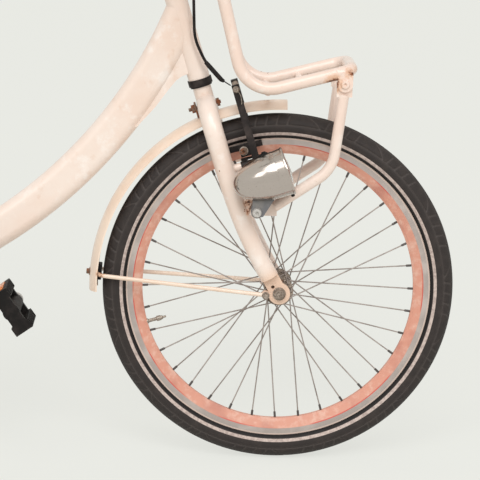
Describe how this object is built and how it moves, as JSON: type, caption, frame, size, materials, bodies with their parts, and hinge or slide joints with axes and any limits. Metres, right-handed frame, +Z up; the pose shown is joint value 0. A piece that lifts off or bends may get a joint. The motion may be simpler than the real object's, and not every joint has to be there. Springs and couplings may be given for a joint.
{
  "type": "kids bicycle",
  "caption": "Kids step-through bicycle with pink rims, a tube carrier over the front wheel, bullet headlamp, mudguards, closed chain case and rear carrier, parked on its side stand.",
  "frame": {"origin": "on the ground, under the middle of the parked bicycle's bounding box", "axes": "+X forward, +Y to the bicycle's left, +Z up; the bicycle leans to its left onto the side stand"},
  "size_m": [1.6369, 0.5683, 0.999],
  "materials": {
    "cream_paint": "gloss",
    "guard_paint": "gloss",
    "pink_rim": "satin",
    "tyre": "matte",
    "steel": "satin",
    "bright_alloy": "satin",
    "black_metal": "satin",
    "black_plastic": "matte",
    "grip_rubber": "matte",
    "saddle_cover": "matte",
    "chrome": "polished",
    "lamp_glass": "clear",
    "grey_plastic": "matte",
    "red_lens": "gloss",
    "rusty_steel": "rough"
  },
  "bodies": {
    "frame": {"main_tube": "cream_paint", "head_tube": "cream_paint", "seat_tube": "cream_paint", "bracket_shell": "cream_paint", "chain_stays": "cream_paint", "seat_stays": "cream_paint", "rear_dropouts": "cream_paint", "headset_cups": "black_metal", "rear_axle": "steel", "seat_post": "steel", "seat_clamp": "steel", "saddle_rails": "steel", "saddle": "saddle_cover", "chain_case": "black_plastic", "rear_mudguard": "guard_paint", "rear_guard_stay": "guard_paint", "rear_carrier": "black_metal", "rear_lamp": "red_lens", "stand_bracket": "black_metal"},
    "steering": {"fork": "cream_paint", "crown_race": "black_metal", "front_axle": "steel", "front_mudguard": "guard_paint", "front_guard_stay": "guard_paint", "guard_bracket": "rusty_steel", "brake_arms": "black_metal", "brake_cable": "black_plastic", "front_carrier": "cream_paint", "carrier_legs": "cream_paint", "carrier_clamps": "black_metal", "lamp_shell": "chrome", "lamp_lens": "lamp_glass", "lamp_bracket": "grey_plastic", "stem": "steel", "handlebar": "bright_alloy", "grips": "grip_rubber", "brake_lever": "black_metal"},
    "front_wheel": {"front_tyre": "tyre", "front_rim": "pink_rim", "front_spokes": "steel", "front_hub_shell": "steel"},
    "rear_wheel": {"rear_tyre": "tyre", "rear_rim": "pink_rim", "rear_spokes": "steel", "rear_hub_shell": "steel"},
    "crank": {"crank_set": "bright_alloy"},
    "pedal_right": {"pedal_right": "black_plastic"},
    "pedal_left": {"pedal_left": "black_plastic"},
    "stand": {"side_stand": "black_metal"}
  },
  "joints": [
    {"name": "steering", "type": "hinge", "parent": "frame", "child": "steering", "pos_m": [0.37712, -0.03261, 0.65043], "axis": [-0.2957, 0.1081, 0.9491], "range_deg": [-60, 60]},
    {"name": "front_wheel_spin", "type": "hinge", "parent": "steering", "child": "front_wheel", "pos_m": [0.517, -0.07274, 0.29822], "axis": [0, 0.9936, -0.1132], "continuous": true},
    {"name": "rear_wheel_spin", "type": "hinge", "parent": "frame", "child": "rear_wheel", "pos_m": [-0.497, -0.07274, 0.29822], "axis": [0, 0.9936, -0.1132], "continuous": true},
    {"name": "crank_spin", "type": "hinge", "parent": "frame", "child": "crank", "pos_m": [-0.072, -0.07421, 0.2853], "axis": [0, 0.9936, -0.1132], "continuous": true},
    {"name": "pedal_right_spin", "type": "hinge", "parent": "crank", "child": "pedal_right", "pos_m": [0.074, -0.20139, 0.29979], "axis": [0, 0.9936, -0.1132], "continuous": true},
    {"name": "pedal_left_spin", "type": "hinge", "parent": "crank", "child": "pedal_left", "pos_m": [-0.218, 0.05297, 0.27081], "axis": [0, 0.9936, -0.1132], "continuous": true},
    {"name": "stand_fold", "type": "hinge", "parent": "frame", "child": "stand", "pos_m": [-0.419, 0.0029, 0.25538], "axis": [0, 0.9614, 0.2753], "range_deg": [0, 90]}
  ]
}
